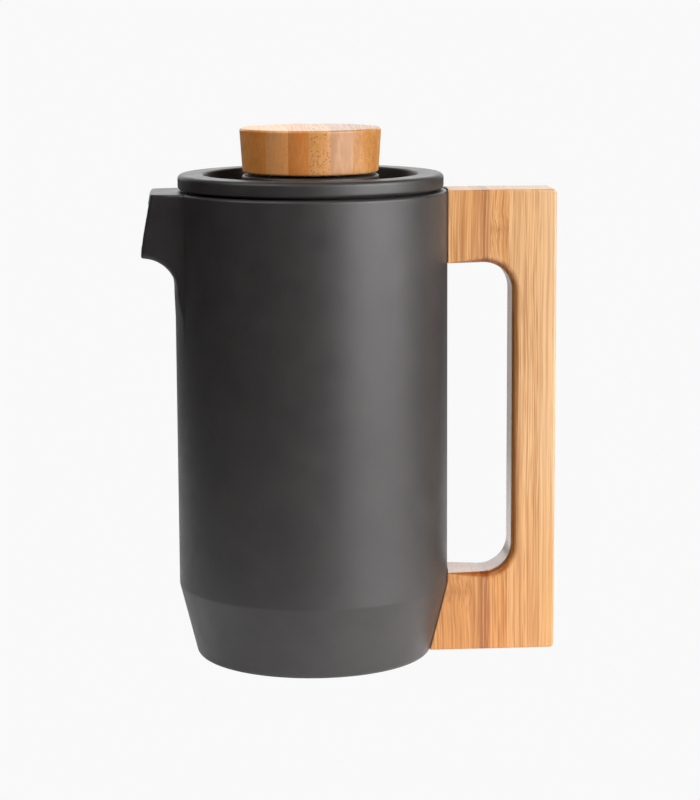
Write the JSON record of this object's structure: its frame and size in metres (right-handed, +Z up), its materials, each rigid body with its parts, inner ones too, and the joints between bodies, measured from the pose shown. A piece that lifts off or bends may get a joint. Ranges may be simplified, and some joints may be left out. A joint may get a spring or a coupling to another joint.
{
  "type": "french press",
  "caption": "Stoneware french press with a short spout, a square bamboo handle, a dished lid and a plunger with a bamboo knob and a filter stack.",
  "frame": {"origin": "centre of the pot's flat base, on the pot's axis", "axes": "+Z up along the pot's axis, +X towards the handle, -X towards the spout"},
  "size_m": [0.1585, 0.104, 0.2033],
  "materials": {
    "stoneware": "matt black fired stoneware",
    "bamboo": "oiled laminated bamboo",
    "joint_pad": "matt",
    "silicone": "matt",
    "steel": "satin stainless",
    "brass": "plain"
  },
  "bodies": {
    "pot": {"pot": "stoneware", "handle": "bamboo", "upper_handle_pad": "joint_pad", "lower_handle_pad": "joint_pad", "upper_handle_screw": "steel", "lower_handle_screw": "steel"},
    "lid_seal": {"lid_seal": "silicone"},
    "lid": {"lid": "stoneware"},
    "rod_guide": {"rod_guide": "steel", "guide_washer": "steel", "guide_clip": "steel"},
    "plunger": {"knob": "bamboo", "knob_insert": "brass", "knob_washer": "steel", "plunger_rod": "steel", "rod_collar": "steel", "spiral_plate": "steel", "edge_spring": "steel", "filter_mesh": "steel", "cross_plate": "steel", "filter_nut": "steel"}
  },
  "joints": [
    {"name": "lid_lift", "type": "slide", "parent": "pot", "child": "lid_seal", "axis": [0, 0, 1], "range_m": [0, 0.165]},
    {"name": "lid_turn", "type": "hinge", "parent": "lid_seal", "child": "lid", "pos_m": [0, 0, 0.1798], "axis": [0, 0, 1], "continuous": true},
    {"name": "plunger_turn", "type": "hinge", "parent": "lid", "child": "rod_guide", "pos_m": [0, 0, 0.1798], "axis": [0, 0, 1], "continuous": true},
    {"name": "plunger_slide", "type": "slide", "parent": "rod_guide", "child": "plunger", "axis": [0, 0, 1], "range_m": [0, 0.128]}
  ]
}
